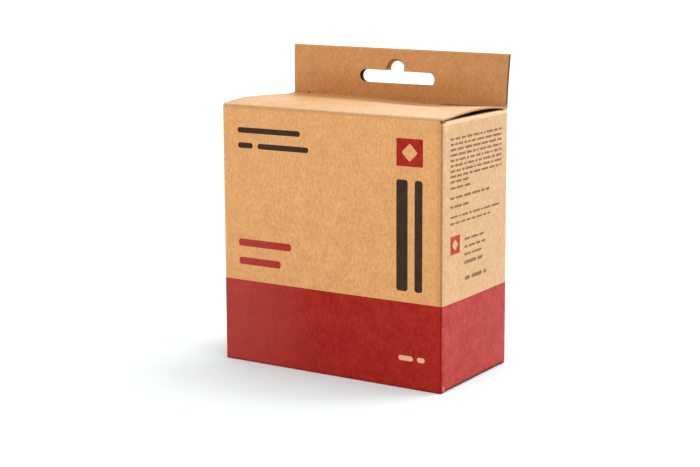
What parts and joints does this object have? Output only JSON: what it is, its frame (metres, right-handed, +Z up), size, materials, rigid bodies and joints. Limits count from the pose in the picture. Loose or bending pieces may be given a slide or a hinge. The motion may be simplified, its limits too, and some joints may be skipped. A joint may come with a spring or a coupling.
{
  "type": "boxed gymnastics chalk block",
  "caption": "Kraft folding carton with a hang tab, tuck lid and tuck bottom, holding one wrapped magnesium carbonate chalk block.",
  "frame": {"origin": "centre of the carton's base, on the surface it stands on", "axes": "+Z up towards the hang tab, -Y out of the printed front, +X towards the right side panel"},
  "size_m": [0.078, 0.04, 0.097],
  "materials": {
    "kraft_board": "matte",
    "adhesive": "satin",
    "chalk": "matte",
    "wrapper_paper": "satin"
  },
  "bodies": {
    "carton": {"front_panel": "kraft_board", "right_side_panel": "kraft_board", "left_side_panel": "kraft_board", "back_panel": "kraft_board", "glue_flap": "kraft_board", "side_seam_glue": "adhesive", "hang_tab_front_ply": "kraft_board", "hang_tab_rear_ply": "kraft_board", "hang_tab_glue": "adhesive", "chalk_block": "chalk", "block_wrapper": "wrapper_paper"},
    "lid": {"lid_panel": "kraft_board"},
    "lid_tuck": {"lid_tuck_flap": "kraft_board"},
    "right_top_dust": {"right_top_dust_flap": "kraft_board"},
    "left_top_dust": {"left_top_dust_flap": "kraft_board"},
    "bottom": {"bottom_panel": "kraft_board"},
    "bottom_tuck": {"bottom_tuck_flap": "kraft_board"},
    "right_bottom_dust": {"right_bottom_dust_flap": "kraft_board"},
    "left_bottom_dust": {"left_bottom_dust_flap": "kraft_board"}
  },
  "joints": [
    {"name": "lid_hinge", "type": "hinge", "parent": "carton", "child": "lid", "pos_m": [0, 0.0188, 0.0803], "axis": [-1, 0, 0], "range_deg": [0, 75]},
    {"name": "lid_tuck_crease", "type": "hinge", "parent": "lid", "child": "lid_tuck", "pos_m": [0, -0.0194, 0.0803], "axis": [-1, 0, 0], "range_deg": [0, 22.5]},
    {"name": "right_top_dust_crease", "type": "hinge", "parent": "carton", "child": "right_top_dust", "pos_m": [0.039, 0, 0.0797], "axis": [0, 1, 0], "range_deg": [0, 24.75]},
    {"name": "left_top_dust_crease", "type": "hinge", "parent": "carton", "child": "left_top_dust", "pos_m": [-0.039, 0, 0.0797], "axis": [0, -1, 0], "range_deg": [0, 24.75]},
    {"name": "bottom_hinge", "type": "hinge", "parent": "carton", "child": "bottom", "pos_m": [0, 0.02, 0], "axis": [1, 0, 0], "range_deg": [0, 110]},
    {"name": "bottom_tuck_crease", "type": "hinge", "parent": "bottom", "child": "bottom_tuck", "pos_m": [0, -0.0194, 0], "axis": [1, 0, 0], "range_deg": [0, 22]},
    {"name": "right_bottom_dust_crease", "type": "hinge", "parent": "carton", "child": "right_bottom_dust", "pos_m": [0.039, 0, 0.0006], "axis": [0, -1, 0], "range_deg": [0, 36.3]},
    {"name": "left_bottom_dust_crease", "type": "hinge", "parent": "carton", "child": "left_bottom_dust", "pos_m": [-0.039, 0, 0.0006], "axis": [0, 1, 0], "range_deg": [0, 36.3]}
  ],
  "couplings": [
    {"joint": "lid_tuck_crease", "follows": "lid_hinge", "ratio": 0.3},
    {"joint": "right_top_dust_crease", "follows": "lid_hinge", "ratio": 0.33},
    {"joint": "left_top_dust_crease", "follows": "lid_hinge", "ratio": 0.33},
    {"joint": "bottom_tuck_crease", "follows": "bottom_hinge", "ratio": 0.2},
    {"joint": "right_bottom_dust_crease", "follows": "bottom_hinge", "ratio": 0.33},
    {"joint": "left_bottom_dust_crease", "follows": "bottom_hinge", "ratio": 0.33}
  ]
}
